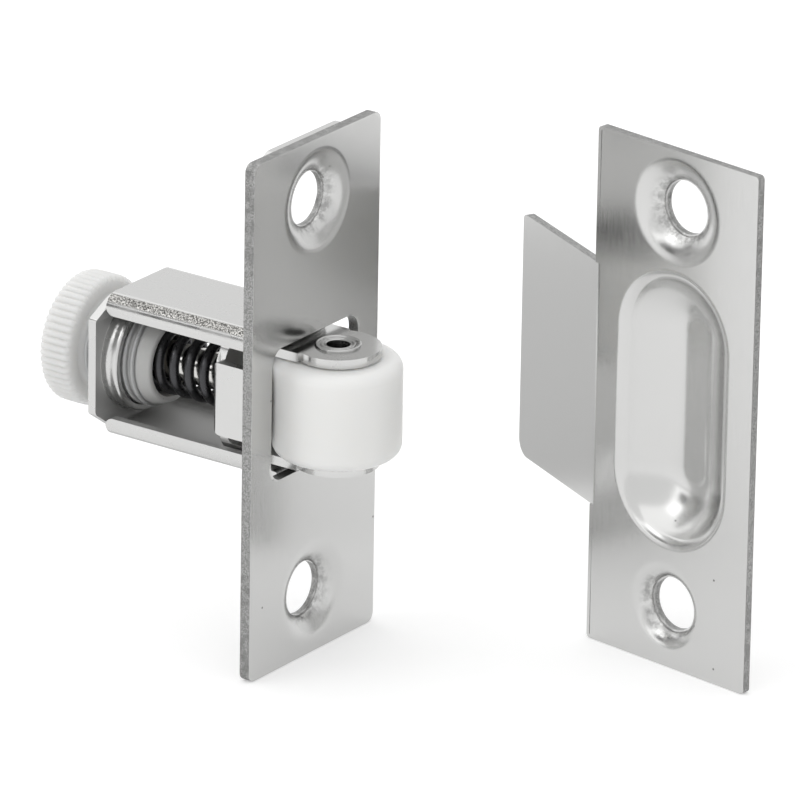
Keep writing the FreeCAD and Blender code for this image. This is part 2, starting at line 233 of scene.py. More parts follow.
# %% [markdown]
# ## Folded strap and yoke
# The housing and the yoke are folded from the same plated strip. Where sheet is bent sharply its outside
# stretches and the skin turns grainy, like orange peel: small facets. Facets this small need no geometry,
# so a noise gives them a bump, and painted glints and painted shade in their colour, bright or dark, for the
# light they catch or miss. The mask for them is high where the surface's direction lies between sideways and
# upwards, which is just the rolled edges. The plating bath hardly reaches the inside of a folded piece, so
# that stays dull; its darker colour there is painted shade.

# %% Masks on the folded strip
def fold_masks(tree, place, middle, collar, dull_and_shade, grain_from):
    """Masks for the grainy upper bends, for faces that look inwards, and for the wall of the collar.

    Faces that look at the middle are inside. The collar is the radius of its wall, then comes the strength of
    the inside mask, which both dulls those faces and darkens them with painted shade, and grain_from is the
    place along X behind which no bend is grainy.
    """
    spot = add_node(tree, "ShaderNodeSeparateXYZ", {0: place.outputs["Object"]})
    flat = add_node(tree, "ShaderNodeCombineXYZ", {1: spot.outputs[1], 2: spot.outputs[2]})
    reach = add_node(tree, "ShaderNodeVectorMath", {0: flat.outputs[0]}, operation="LENGTH")
    beyond = add_node(tree, "ShaderNodeMapRange", {0: reach.outputs["Value"], 1: collar - 0.02 * MM,
                                                   2: collar + 0.03 * MM})
    within = add_node(tree, "ShaderNodeMath", {0: 1.0, 1: beyond.outputs[0]}, operation="SUBTRACT")

    facing = add_node(tree, "ShaderNodeSeparateXYZ", {0: place.outputs["Normal"]})
    sideways = add_node(tree, "ShaderNodeMath", {0: facing.outputs[1]}, operation="ABSOLUTE")
    leaning = add_node(tree, "ShaderNodeMapRange", {0: sideways.outputs[0], 1: 0.3, 2: 0.38})
    upwards = add_node(tree, "ShaderNodeMapRange", {0: facing.outputs[2], 1: 0.5, 2: 0.58})
    straight = add_node(tree, "ShaderNodeMapRange", {0: spot.outputs[0], 1: grain_from - 0.3 * MM,
                                                     2: grain_from})
    behind_plate = add_node(tree, "ShaderNodeMapRange", {0: spot.outputs[0], 1: -0.9 * MM, 2: -1.3 * MM})
    bend = leaning
    for mask in (upwards, straight, behind_plate, beyond):
        bend = add_node(tree, "ShaderNodeMath", {0: bend.outputs[0], 1: mask.outputs[0]},
                        operation="MULTIPLY")

    out = add_node(tree, "ShaderNodeVectorMath", {0: place.outputs["Object"], 1: middle},
                   operation="SUBTRACT")
    along = add_node(tree, "ShaderNodeVectorMath", {0: place.outputs["Normal"], 1: out.outputs[0]},
                     operation="DOT_PRODUCT")
    inward = add_node(tree, "ShaderNodeMapRange", {0: along.outputs["Value"], 1: -1.5 * MM, 2: -3 * MM,
                                                   3: 0.0, 4: dull_and_shade})
    inside = add_node(tree, "ShaderNodeMath", {0: inward.outputs[0], 1: beyond.outputs[0]},
                      operation="MULTIPLY")
    return bend.outputs[0], inside.outputs[0], within.outputs[0]


print("masks for bends, insides and the collar")

# %% Folded strip finish
thread_pitch = 1.0
painted_facet_shade_web = "#3c3b39"
painted_facet_glint_web = "#c4c3c0"
inside_roughness = 0.5
inside_metallic = 0.45


def folded_strip(name, web, painted_inside_shade_web, roughness, middle, collar, dull_and_shade, grain_from):
    """Satin plating: grainy on the upper bends, with painted glints and shade, ridged on the collar, dull and
    painted darker as shade on faces that look inwards.
    """
    finish, tree, shader, place = new_finish(name, web, 1.0, roughness)
    here = place.outputs["Object"]
    bend, inside, within = fold_masks(tree, place, middle, collar, dull_and_shade, grain_from)

    # The rolling lines are finer than the picture can show, so they are drawn 0.5 mm apart.
    peel = add_node(tree, "ShaderNodeTexNoise", {"Vector": here, "Scale": per_mm(0.15), "Detail": 2.0,
                                                 "Roughness": 0.6})
    rolled = add_node(tree, "ShaderNodeMapping", {"Vector": here, "Scale": (0.1, 1, 1)})
    streak = add_node(tree, "ShaderNodeTexNoise", {"Vector": rolled.outputs[0], "Scale": per_mm(0.5),
                                                   "Detail": 3.0})
    haze = add_node(tree, "ShaderNodeTexNoise", {"Vector": here, "Scale": per_mm(4), "Detail": 3.0})

    # Painted glints and painted shade: the facets' colour goes from dark to bright for the light they catch
    # or miss.
    facet = add_node(tree, "ShaderNodeMapRange", {0: peel.outputs[0], 1: 0.42, 2: 0.6})
    painted_glints = add_node(tree, "ShaderNodeMix", {0: facet.outputs[0], 6: linear(painted_facet_shade_web),
                                             7: linear(painted_facet_glint_web)}, data_type="RGBA")
    skin = add_node(tree, "ShaderNodeMix", {0: bend, 6: linear(web), 7: painted_glints.outputs[2]}, data_type="RGBA")
    # Painted shade: faces that look inwards take the darker inside colour.
    tone = add_node(tree, "ShaderNodeMix", {0: inside, 6: skin.outputs[2], 7: linear(painted_inside_shade_web)},
                    data_type="RGBA")
    tree.links.new(tone.outputs[2], shader.inputs["Base Color"])
    even = add_node(tree, "ShaderNodeMapRange", {0: haze.outputs[0], 1: 0.35, 2: 0.7,
                                                 3: roughness - 0.05, 4: roughness + 0.08})
    gloss = add_node(tree, "ShaderNodeMix", {0: inside, 2: even.outputs[0], 3: inside_roughness})
    tree.links.new(gloss.outputs[0], shader.inputs["Roughness"])
    plating = add_node(tree, "ShaderNodeMapRange", {0: inside, 3: 1.0, 4: inside_metallic})
    tree.links.new(plating.outputs[0], shader.inputs["Metallic"])

    lines = add_node(tree, "ShaderNodeBump", {"Strength": 0.3, "Distance": 0.004 * MM,
                                              "Height": streak.outputs[0]})
    depth = add_node(tree, "ShaderNodeMath", {0: peel.outputs[0], 1: bend}, operation="MULTIPLY")
    bumps = add_node(tree, "ShaderNodeBump", {"Strength": 0.7, "Distance": 0.04 * MM,
                                              "Height": depth.outputs[0], "Normal": lines.outputs[0]})
    spot = add_node(tree, "ShaderNodeSeparateXYZ", {0: here})
    thread = add_node(tree, "ShaderNodeMath", {0: spot.outputs[0], 1: 2 * math.pi / (thread_pitch * MM)},
                      operation="MULTIPLY")
    ridge = add_node(tree, "ShaderNodeMath", {0: thread.outputs[0]}, operation="SINE")
    tapped = add_node(tree, "ShaderNodeMath", {0: ridge.outputs[0], 1: within}, operation="MULTIPLY")
    ridges = add_node(tree, "ShaderNodeBump", {"Strength": 0.3, "Distance": 0.1 * MM,
                                               "Height": tapped.outputs[0], "Normal": bumps.outputs[0]})
    tree.links.new(ridges.outputs[0], shader.inputs["Normal"])
    return finish


# The second colour of each strip is painted shade for its inward-facing faces.
strap_finish = folded_strip("plated_steel_strap", "#cacac9", "#a6a6a5", 0.26, middle=(-10 * MM, 0, 0),
                            collar=6.24 * MM, dull_and_shade=1.0, grain_from=-20.9 * MM)
yoke_finish = folded_strip("plated_steel_yoke", "#cbcbca", "#9c9c9b", 0.22, middle=(-2 * MM, 0, 0),
                           collar=0.0, dull_and_shade=0.4, grain_from=-8 * MM)
print("folded finishes:", strap_finish.name, yoke_finish.name)

# %% [markdown]
# ## Moulded nylon, black wire and bright rod
# Nylon lets light in a little way and gives it back softly. A plain white would look painted, so it gets
# subsurface scattering, a wide highlight and a trace of unevenness from the mould. Inside the housing less
# light gets through the knob, so its colour there is painted darker: painted shade. Spring wire is drawn,
# hardened and oiled black. The rod and the rivet are turned and plated. A stretched noise draws the fine
# lines that drawing and turning leave, 0.3 mm apart so that they show.

# %% Nylon, wire and rod finishes
dust_web = "#8f8d88"


def moulded_nylon(name, web, roughness, inner_web, inner_from, inner_to):
    """Cloudy moulded nylon whose colour goes over to an inner one between two places along X, in mm."""
    finish, tree, shader, place = new_finish(name, web, 0.0, roughness)
    here = place.outputs["Object"]
    shader.inputs["Subsurface Weight"].default_value = 0.8
    shader.inputs["Subsurface Radius"].default_value = (1.0, 0.97, 0.93)
    shader.inputs["Subsurface Scale"].default_value = 2.8 * MM
    shader.inputs["IOR"].default_value = 1.53
    cloud = add_node(tree, "ShaderNodeTexNoise", {"Vector": here, "Scale": per_mm(2.5), "Detail": 4.0})
    patch = add_node(tree, "ShaderNodeMapRange", {0: cloud.outputs[0], 1: 0.35, 2: 0.65,
                                                  3: roughness - 0.04, 4: roughness + 0.06})
    tree.links.new(patch.outputs[0], shader.inputs["Roughness"])
    spot = add_node(tree, "ShaderNodeSeparateXYZ", {0: here})
    share = add_node(tree, "ShaderNodeMapRange", {0: spot.outputs[0], 1: inner_from * MM, 2: inner_to * MM})
    body = add_node(tree, "ShaderNodeMix", {0: share.outputs[0], 6: linear(web), 7: linear(inner_web)},
                    data_type="RGBA")
    cell = add_node(tree, "ShaderNodeTexVoronoi", {"Vector": here, "Scale": per_mm(3.5)})
    dust = add_node(tree, "ShaderNodeMapRange", {0: cell.outputs["Distance"], 1: 0.02, 2: 0.035,
                                                 3: 0.6, 4: 0.0})
    tone = add_node(tree, "ShaderNodeMix", {0: dust.outputs[0], 6: body.outputs[2], 7: linear(dust_web)},
                    data_type="RGBA")
    tree.links.new(tone.outputs[2], shader.inputs["Base Color"])
    mould = add_node(tree, "ShaderNodeBump", {"Strength": 0.3, "Distance": 0.01 * MM,
                                              "Height": cloud.outputs[0]})
    tree.links.new(mould.outputs[0], shader.inputs["Normal"])
    return finish


def drawn_metal(name, web, roughness, metallic, line_way):
    """Wire or rod with fine lines left by drawing or turning."""
    finish, tree, shader, place = new_finish(name, web, metallic, roughness)
    along = add_node(tree, "ShaderNodeMapping", {"Vector": place.outputs["Object"], "Scale": line_way})
    lines = add_node(tree, "ShaderNodeTexNoise", {"Vector": along.outputs[0], "Scale": per_mm(0.3),
                                                  "Detail": 3.0})
    gloss = add_node(tree, "ShaderNodeMapRange", {0: lines.outputs[0], 1: 0.3, 2: 0.7,
                                                  3: roughness - 0.06, 4: roughness + 0.08})
    tree.links.new(gloss.outputs[0], shader.inputs["Roughness"])
    marks = add_node(tree, "ShaderNodeBump", {"Strength": 0.3, "Distance": 0.006 * MM,
                                              "Height": lines.outputs[0]})
    tree.links.new(marks.outputs[0], shader.inputs["Normal"])
    return finish


# The knob's shank inside the housing is painted greyer: painted shade.
knob_finish = moulded_nylon("moulded_nylon_knob", "#dbdbda", 0.45, inner_web="#bebebc",
                            inner_from=-24.5, inner_to=-21.5)
# Only the roller's frontmost half millimetre is a shade darker than the rest.
roller_finish = moulded_nylon("moulded_nylon_roller", "#ededeb", 0.38, inner_web="#f0f0ee",
                              inner_from=12, inner_to=11)
wire_finish = drawn_metal("oiled_spring_wire", "#48484a", 0.3, 0.9, (1, 1, 1))
rod_finish = drawn_metal("turned_bright_rod", "#cfcecb", 0.16, 1.0, (1, 0.15, 0.15))
rivet_finish = drawn_metal("turned_bright_rivet", "#b4b4b3", 0.2, 1.0, (0.15, 0.15, 1))
print("small finishes:", knob_finish.name, roller_finish.name, wire_finish.name, rod_finish.name,
      rivet_finish.name)

# %% [markdown]
# ## Helpers for shapes
# A shape could start from a box or a cylinder, but most pieces here start as a thin wire outline, which is
# as easy to read as a drawing. Rounding a corner is a vertex bevel, whose offset is how far the rounding
# reaches along each side. Lengths are millimetres and are turned to metres at the end. The last helpers
# turn a finished bmesh into a smooth piece that rides on its body and stands for its CAD node.

# %% Outline helpers
def in_xz(a, b):
    return (a, 0, b)


def in_zx(a, b):
    return (b, 0, a)


def in_xy(a, b):
    return (a, b, 0)


def in_yz(a, b):
    return (0, a, b)


def wire(bm, points, place, closed=False, segments=6):
    """Draws a wire through (a, b, rounding) and returns its edges and vertices."""
    verts = [bm.verts.new(place(a, b)) for a, b, cut in points]
    for pair in zip(verts, verts[1:]):
        bm.edges.new(pair)
    if closed:
        bm.edges.new((verts[-1], verts[0]))
    for vert, (a, b, cut) in zip(verts, points):
        if cut:
            bmesh.ops.bevel(bm, geom=[vert], offset=cut, offset_type="OFFSET", segments=segments,
                            profile=0.5, affect="VERTICES", material=-1)
    loose = [e for e in bm.edges if e.is_wire]
    return loose, list(dict.fromkeys(v for e in loose for v in e.verts))


def turn(bm, points, axis, steps, centre=(0, 0, 0), segments=6):
    """Lathes a closed outline, given as (along, radius, rounding), about an axis."""
    place, way = (in_xz, (1, 0, 0)) if axis == "X" else (in_zx, (0, 0, 1))
    edges, verts = wire(bm, points, place, closed=True, segments=segments)
    bmesh.ops.translate(bm, verts=verts, vec=centre)
    bmesh.ops.spin(bm, geom=edges + verts, cent=centre, axis=way, dvec=(0, 0, 0), angle=2 * math.pi,
                   steps=steps, use_merge=True, use_duplicate=False)


def join(whole, part):
    """Adds one bmesh to another, by way of a spare mesh."""
    spare = bpy.data.meshes.new("spare")
    part.to_mesh(spare)
    part.free()
    whole.from_mesh(spare)
    bpy.data.meshes.remove(spare)


print("an outline can lie in", [f.__name__ for f in (in_xz, in_zx, in_xy, in_yz)])

# %% Piece helpers
weld = 0.001


def new_object(bm, name, finish):
    """Makes an object of a bmesh, gives it its finish and puts it in the scene."""
    mesh = bpy.data.meshes.new(name)
    bm.to_mesh(mesh)
    bm.free()
    mesh.materials.append(finish)
    made = bpy.data.objects.new(name, mesh)
    bpy.context.scene.collection.objects.link(made)
    return made


def show(bm, name, body, node, finish, sharp=35, closed=True, drawn=True):
    """Welds and shades the bmesh, and puts it in the scene in its node's place."""
    if drawn:
        bmesh.ops.translate(bm, verts=bm.verts, vec=(plate_front, 0, 0))
        bmesh.ops.scale(bm, verts=bm.verts, vec=(MM, MM, MM))
    bmesh.ops.remove_doubles(bm, verts=bm.verts, dist=weld * MM)
    if closed:
        bmesh.ops.recalc_face_normals(bm, faces=bm.faces)
    piece = new_object(bm, name, finish)
    faces = piece.data.polygons
    faces.foreach_set("use_smooth", [True] * len(faces))
    piece.data.set_sharp_from_angle(angle=math.radians(sharp))
    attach(piece, body)
    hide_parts(node)
    print(name, "has", len(faces), "faces")
    return piece


def round_edges(piece, width, segments, angle):
    """Rounds what is sharper than the angle, and lets large flat faces decide the shading beside it."""
    edge = piece.modifiers.new("rounded edges", "BEVEL")
    edge.width = width * MM
    edge.segments = segments
    edge.limit_method = "ANGLE"
    edge.angle_limit = math.radians(angle)
    weighted = piece.modifiers.new("flat faces stay flat", "WEIGHTED_NORMAL")
    weighted.keep_sharp = True
    weighted.weight = 80


print("vertices closer than", weld, "mm are welded")

# %% [markdown]
# ## Pressed plates
# Both plates are one sheet whose front is shaped by a punch. A slab with holes cut out of it would have no
# soft shoulders, so only the front surface is modelled: a flat outline, a spun dimple at each screw hole,
# and a slot or a trough. A seam down the middle parts the flat between them into two simple halves, which
# are filled. Solidify then gives the sheet its thickness and a small bevel rounds its cut edges.

# %% Sheet helpers
plate_half_width = 11.1
plate_half_height = 28.575
screw_radius = 2.875
flat_rim = 0.4
near = 0.05


def rounded_box(half_width, half_height, corner):
    """A box's corners with their rounding, and the middles of its ends, where the seams meet it."""
    return [(0, -half_height, 0), (half_width, -half_height, corner), (half_width, half_height, corner),
            (0, half_height, 0), (-half_width, half_height, corner), (-half_width, -half_height, corner)]


def inset_outline(bm, points):
    """A strip as wide as the flat rim inside a closed outline, for the edge rounding to sit on."""
    edges = wire(bm, points, in_yz, closed=True, segments=8)[0]
    face = bmesh.ops.contextual_create(bm, geom=edges)["faces"][0]
    bmesh.ops.inset_region(bm, faces=[face], thickness=flat_rim, use_even_offset=True, use_boundary=True)
    bmesh.ops.delete(bm, geom=[face], context="FACES_ONLY")


def dimple(bm, z, mouth, depth, lip, shoulder):
    """A countersink pressed round a screw hole, spun from its section, soft where the sheet bends."""
    hole_rounding = 0.35
    flat_ring = 0.1
    section = [(-depth - lip, screw_radius, 0), (-depth, screw_radius, hole_rounding), (0, mouth, shoulder),
               (0, mouth + shoulder + flat_ring, 0)]
    edges, verts = wire(bm, section, in_xz, segments=10)
    bmesh.ops.translate(bm, verts=verts, vec=(0, 0, z))
    bmesh.ops.spin(bm, geom=edges + verts, cent=(0, 0, z), axis=(1, 0, 0), dvec=(0, 0, 0), angle=2 * math.pi,
                   steps=96, use_merge=True, use_duplicate=False)


print("plates are", 2 * plate_half_width, "by", 2 * plate_half_height, "mm")

# %% Fill and press
def fill_flat(bm, keep_open):
    """Fills the flat between the open loops that lie in the front plane, apart from those kept open."""
    bmesh.ops.remove_doubles(bm, verts=bm.verts, dist=weld)
    rims = [e for e in bm.edges if e.is_boundary and all(abs(v.co.x) < weld for v in e.verts)
            and not keep_open(e)]
    middle = sorted({v for e in rims for v in e.verts if abs(v.co.y) < weld}, key=lambda v: v.co.z)
    seams = [bm.edges.new(pair) for pair in zip(middle[::2], middle[1::2])]
    for half in (1, -1):
        loop = [e for e in rims if half * sum(v.co.y for v in e.verts) > 0]
        bmesh.ops.contextual_create(bm, geom=loop + seams)
    print("flat parted by", len(seams), "seams")


def press(bm, name, node, finish, thick, rounding, place=None):
    """Turns the front surface to face forwards, gives it thickness and rounds its edges."""
    bmesh.ops.remove_doubles(bm, verts=bm.verts, dist=weld)
    bmesh.ops.recalc_face_normals(bm, faces=bm.faces)
    if sum(f.normal.x * f.calc_area() for f in bm.faces) < 0:
        bmesh.ops.reverse_faces(bm, faces=bm.faces)
    if place:
        bmesh.ops.transform(bm, matrix=place, verts=bm.verts)
    piece = show(bm, name, "housing", node, finish, sharp=60, closed=False)
    wall = piece.modifiers.new("sheet thickness", "SOLIDIFY")
    wall.thickness = thick * MM
    wall.offset = -1
    wall.use_even_offset = True
    round_edges(piece, rounding, segments=3, angle=50)


print("cut edges sit on a rim of", flat_rim, "mm")

# %% Face plate
slot_half_width = 7.6
slot_half_height = 7.3
slot_corner = 2.2
face_corner = 1.0
face_hole = 21.7
face = bmesh.new()
inset_outline(face, rounded_box(plate_half_width, plate_half_height, face_corner))
inset_outline(face, rounded_box(slot_half_width + flat_rim, slot_half_height + flat_rim, slot_corner))
for z in (face_hole, -face_hole):
    dimple(face, z, mouth=4.3, depth=1.3, lip=0.85, shoulder=1.5)


def on_outline(edge):
    """True where an edge lies on the outer edge of the plate, outside its flat rim."""
    y = max(abs(v.co.y) for v in edge.verts)
    z = max(abs(v.co.z) for v in edge.verts)
    return y > plate_half_width - flat_rim + near or z > plate_half_height - flat_rim + near


def cut_edge_of_face(edge):
    """The outline and the slot's wall stay open for the thickness."""
    in_slot = all(abs(v.co.y) < slot_half_width + near and abs(v.co.z) < slot_half_height + near
                  for v in edge.verts)
    return on_outline(edge) or in_slot


fill_flat(face, cut_edge_of_face)
press(face, "face_plate_pressed", "face_plate", face_finish, thick=1.2, rounding=0.22)

# %% [markdown]
# ## Strike plate
# The trough is drawn by a long round-ended punch. It could be carved out of a thick block, but a drawn
# sheet keeps its thickness, so here too only its front is made. Its section is spun half a turn at one
# end, run along the straight side, spun at the other end and run back, which closes it. The lead-in lip
# grows out of the plate's edge: the edge is spun a few degrees for the bend and then run out flat.

# %% Outline of the strike plate
lip_half = 13.5
bend_start = 10.35
strike_corner = 0.45
strike_hole = 22.0
outline = rounded_box(plate_half_width, plate_half_height, strike_corner)
step_for_lip = [(-plate_half_width, lip_half, 0), (-bend_start, lip_half, 0), (-bend_start, -lip_half, 0),
                (-plate_half_width, -lip_half, 0)]
strike = bmesh.new()
inset_outline(strike, outline[:5] + step_for_lip + outline[5:])
dimple(strike, strike_hole, mouth=4.4, depth=1.5, lip=0.9, shoulder=1.6)
dimple(strike, -strike_hole, mouth=3.9, depth=1.3, lip=0.9, shoulder=1.1)
print("the strike's outline has", len(outline) + len(step_for_lip), "corners")

# %% Trough
trough_half = 7.6
trough_depth = 3.9
trough_run = 7.7
trough_shoulder = 0.98
floor_rounding = 3.6
# The floor's corner comes from a wall that reaches the full half width. The wall's own top lies a little
# inside that, where the shoulder starts, and a narrow flat ring goes a little past it.
wall_top = trough_half - 0.7
ring_edge = trough_half + 0.3
slope = 2 * math.atan(trough_depth / trough_half)
floor_corner = trough_half - trough_depth / math.tan(slope)
section = [(-trough_depth, 0, 0), (-trough_depth, floor_corner, floor_rounding),
           (0, wall_top, trough_shoulder), (0, ring_edge, 0)]
trough = bmesh.new()
edges, verts = wire(trough, section, in_xy, segments=16)
bmesh.ops.translate(trough, verts=verts, vec=(0, 0, trough_run))
sweep = edges + verts
for end in (1, -1):
    swung = bmesh.ops.spin(trough, geom=sweep, cent=(0, 0, end * trough_run), axis=(1, 0, 0), dvec=(0, 0, 0),
                           angle=math.pi, steps=48, use_merge=False, use_duplicate=False)
    last = [g for g in swung["geom_last"] if isinstance(g, bmesh.types.BMEdge)]
    run = bmesh.ops.extrude_edge_only(trough, edges=last)
    moved = [g for g in run["geom"] if isinstance(g, bmesh.types.BMVert)]
    bmesh.ops.translate(trough, verts=moved, vec=(0, 0, -end * 2 * trough_run))
    sweep = [g for g in run["geom"] if not isinstance(g, bmesh.types.BMFace)]
bmesh.ops.remove_doubles(trough, verts=trough.verts, dist=weld)
join(strike, trough)
print("the trough is", trough_depth, "mm deep and", 2 * trough_half, "mm wide")

# %% Flat and lip
lip_angle = math.radians(19)
lip_run = 16.25
lip_bend = 1.95
upper_corner = 0.6
lower_corner = 1.8


def cut_edge_of_strike(edge):
    """The outline stays open, also where the lip will grow out of it."""
    return on_outline(edge) or max(v.co.y for v in edge.verts) < -bend_start + near


fill_flat(strike, cut_edge_of_strike)
hinge = [e for e in strike.edges if e.is_boundary and abs(e.calc_length() - 2 * lip_half) < weld
         and all(abs(v.co.y + bend_start) < 0.01 for v in e.verts)]
bent = bmesh.ops.spin(strike, geom=hinge + list(hinge[0].verts), cent=(-lip_bend, -bend_start, 0),
                      axis=(0, 0, 1), dvec=(0, 0, 0), angle=-lip_angle, steps=8, use_merge=False,
                      use_duplicate=False)
last = [g for g in bent["geom_last"] if isinstance(g, bmesh.types.BMEdge)]
run = bmesh.ops.extrude_edge_only(strike, edges=last)
tip = [g for g in run["geom"] if isinstance(g, bmesh.types.BMVert)]
lip_way = Vector((-math.sin(lip_angle), -math.cos(lip_angle), 0))
bmesh.ops.translate(strike, verts=tip, vec=lip_way * lip_run)
print("lip ends at", [round(v, 2) for v in tip[0].co])
for corner in tip:
    reach = upper_corner if corner.co.z > 0 else lower_corner
    bmesh.ops.bevel(strike, geom=[corner], offset=reach, offset_type="OFFSET", segments=8, profile=0.5,
                    affect="VERTICES", material=-1)
press(strike, "strike_plate_pressed", "strike_plate", strike_finish, thick=0.95,
      rounding=0.12, place=strike_turn)

# %% [markdown]
# ## Housing and yoke
# The CAD solids of the folded strap and the yoke already have their bends, reliefs and holes, so drawing
# them again would gain nothing. A copy of each is welded, the loose triangles on its flats are merged to
# whole faces, and a small bevel rounds its edges, as tumbling does. It is shaded smooth across the bends,
# with the flats kept flat, and gets the strip's finish.

# %% Welded copies of the folded pieces
def folded_piece(node, name, body, finish):
    """A clean copy of a CAD node's mesh, with its edges rounded."""
    bm = bmesh.new()
    bm.from_mesh(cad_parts[node].data)
    bmesh.ops.remove_doubles(bm, verts=bm.verts, dist=weld * MM)
    bmesh.ops.dissolve_limit(bm, angle_limit=math.radians(0.2), verts=bm.verts, edges=bm.edges)
    piece = show(bm, name, body, node, finish, sharp=38, drawn=False)
    round_edges(piece, 0.12, segments=2, angle=45)


folded_piece("housing_frame", "housing_strap", "housing", strap_finish)
folded_piece("roller_yoke", "folded_yoke", "carriage", yoke_finish)

# %% [markdown]
# ## Roller, rivet and rod
# These are round and could start from cylinders, but a cylinder has no rolled rim or rounded shoulder. So
# each is drawn as half its section and spun about its axis. The rivet's heads are rolled over in rings, and
# the rod is staked at its front end.

# %% Round pieces
roller_centre = (2.9, 0, 0)
roller_half = 5.35
roller_radius = 6.8
roller_rounding = 1.3
pin_bore = 2.0
roller_bm = bmesh.new()
turn(roller_bm, [(-roller_half, pin_bore, 0.2), (-roller_half, roller_radius, roller_rounding),
                 (roller_half, roller_radius, roller_rounding), (roller_half, pin_bore, 0.2)],
     "Z", steps=128, centre=roller_centre, segments=10)
show(roller_bm, "nylon_roller", "roller", "roller", roller_finish, sharp=60)

rolled_head = [(6.5, 1.9, 0), (6.5, 2.45, 0), (6.8, 2.45, 0.2), (6.8, 2.12, 0.1), (6.54, 2.0, 0.04),
               (6.54, 1.9, 0.04), (6.72, 1.8, 0.05), (6.72, 1.62, 0.05), (6.56, 1.54, 0.03),
               (6.56, 1.46, 0.03), (6.68, 1.36, 0.04), (6.6, 1.25, 0.03)]
lower_head = [(-along, radius, rounding) for along, radius, rounding in rolled_head[::-1]]
rivet_bm = bmesh.new()
turn(rivet_bm, lower_head + rolled_head, "Z", steps=64, centre=roller_centre)
show(rivet_bm, "hollow_rivet", "carriage", "roller_pin", rivet_finish)

rod_radius = 2.0
rod_head = 3.3
staked_end = 2.5
recess_floor = -28.7
rod_bm = bmesh.new()
turn(rod_bm, [(recess_floor - 1.2, 0, 0), (recess_floor - 1.2, rod_head, 0.4), (recess_floor, rod_head, 0.15),
              (recess_floor, rod_radius, 0), (-7.8, rod_radius, 0), (-7.8, staked_end, 0.15),
              (-7.3, staked_end, 0.2), (-7.3, 0, 0)], "X", steps=64)
show(rod_bm, "headed_rod", "carriage", "guide_rod", rod_finish)

# %% [markdown]
# ## Adjusting knob
# The knob is moulded in nylon. Its disc has rounded ribs for the fingers, its hollow shank a coarse
# thread that runs in the housing's collar. Each rib could be a piece of its own, but a moulding is all one
# skin: so the body is spun, and its rim is drawn in between the ribs. The thread is one ridge spun while
# it moves along, a turn for each pitch.

# %% Knob body and knurl
knurl_ribs = 56
knurl_depth = 0.28
knurl_width = 1.2
knurl_fade = 0.6
disc_back = -30.7
disc_front = -26.9
disc_radius = 7.1
shank_radius = 5.15
nose = -18.0
pocket_floor = -24.5
pocket_radius = 4.0
rod_hole = 2.3
recess_radius = 3.9
knob_bm = bmesh.new()
outside = [(disc_back, recess_radius, 0.25), (disc_back, disc_radius, 0.5), (disc_front, disc_radius, 0.7),
           (disc_front, shank_radius, 0.3), (-19.3, shank_radius, 0.2), (-18.65, 4.87, 0), (nose, 4.6, 0.25)]
hollow = [(nose, pocket_radius, 0.1), (pocket_floor, pocket_radius, 0.1), (pocket_floor, rod_hole, 0.1),
          (recess_floor, rod_hole, 0.1), (recess_floor, recess_radius, 0.1)]
turn(knob_bm, outside + hollow, "X", steps=knurl_ribs * 6)
for vert in knob_bm.verts:
    radius = math.hypot(vert.co.y, vert.co.z)
    reach = min(1, (radius - disc_radius + knurl_width) / knurl_fade)
    if reach > 0:
        share = knurl_ribs * math.atan2(vert.co.y, vert.co.z) / 2
        cut = reach * knurl_depth * (1 - abs(math.cos(share)))
        vert.co.y *= 1 - cut / radius
        vert.co.z *= 1 - cut / radius
print("knob body has", len(knob_bm.faces), "faces")

# %% Knob thread
thread_crest = 5.4
thread_root = 5.05
thread_turns = 7.0
thread_steps = 60
thread_bm = bmesh.new()
ridge = [(-26.5, thread_root, 0), (-26.2, thread_crest, 0), (-26.0, thread_crest, 0), (-25.7, thread_root, 0)]
edges, verts = wire(thread_bm, ridge, in_xz, closed=True)
bmesh.ops.spin(thread_bm, geom=edges + verts, cent=(0, 0, 0), axis=(1, 0, 0),
               dvec=(thread_pitch / thread_steps, 0, 0), angle=2 * math.pi * thread_turns,
               steps=int(thread_turns * thread_steps), use_merge=False, use_duplicate=False)
bmesh.ops.holes_fill(thread_bm, edges=[e for e in thread_bm.edges if e.is_boundary], sides=4)
join(knob_bm, thread_bm)
show(knob_bm, "knurled_knob", "knob", "adjusting_knob", knob_finish, sharp=50)

# %% [markdown]
# ## Spring
# A round wire is spun about the rod while it moves along: slowly for the closed turn at each end, faster
# for the open turns between. A thick curve would give the turns as well, but both ends are ground flat, and
# a mesh can be cut with a plane. When the roller is pressed the spring shortens towards the knob.

# %% Spring
wire_radius = 0.55
coil_radius = 3.15
spring_back = pocket_floor
spring_front = -8.8
ground = 0.385
closed_pitch = 1.17
open_turns = 6.7
open_pitch = (spring_front - spring_back + 2 * ground - 2 * wire_radius - 2 * closed_pitch) / open_turns
steps_in_turn = 40
wire_sides = 14
first_place = Matrix.Translation((spring_back - ground + wire_radius, 0, -coil_radius))
spring_bm = bmesh.new()
ring = bmesh.ops.create_circle(spring_bm, segments=wire_sides, radius=wire_radius,
                               matrix=first_place @ Matrix.Rotation(math.pi / 2, 4, "X"))
last = ring["verts"] + list(dict.fromkeys(e for v in ring["verts"] for e in v.link_edges))
for turns, pitch in ((1.0, closed_pitch), (open_turns, open_pitch), (1.0, closed_pitch)):
    steps = round(turns * steps_in_turn)
    coil = bmesh.ops.spin(spring_bm, geom=last, cent=(0, 0, 0), axis=(1, 0, 0), angle=2 * math.pi * turns,
                          dvec=(turns * pitch / steps, 0, 0), steps=steps, use_merge=False,
                          use_duplicate=False)
    last = [g for g in coil["geom_last"] if not isinstance(g, bmesh.types.BMFace)]
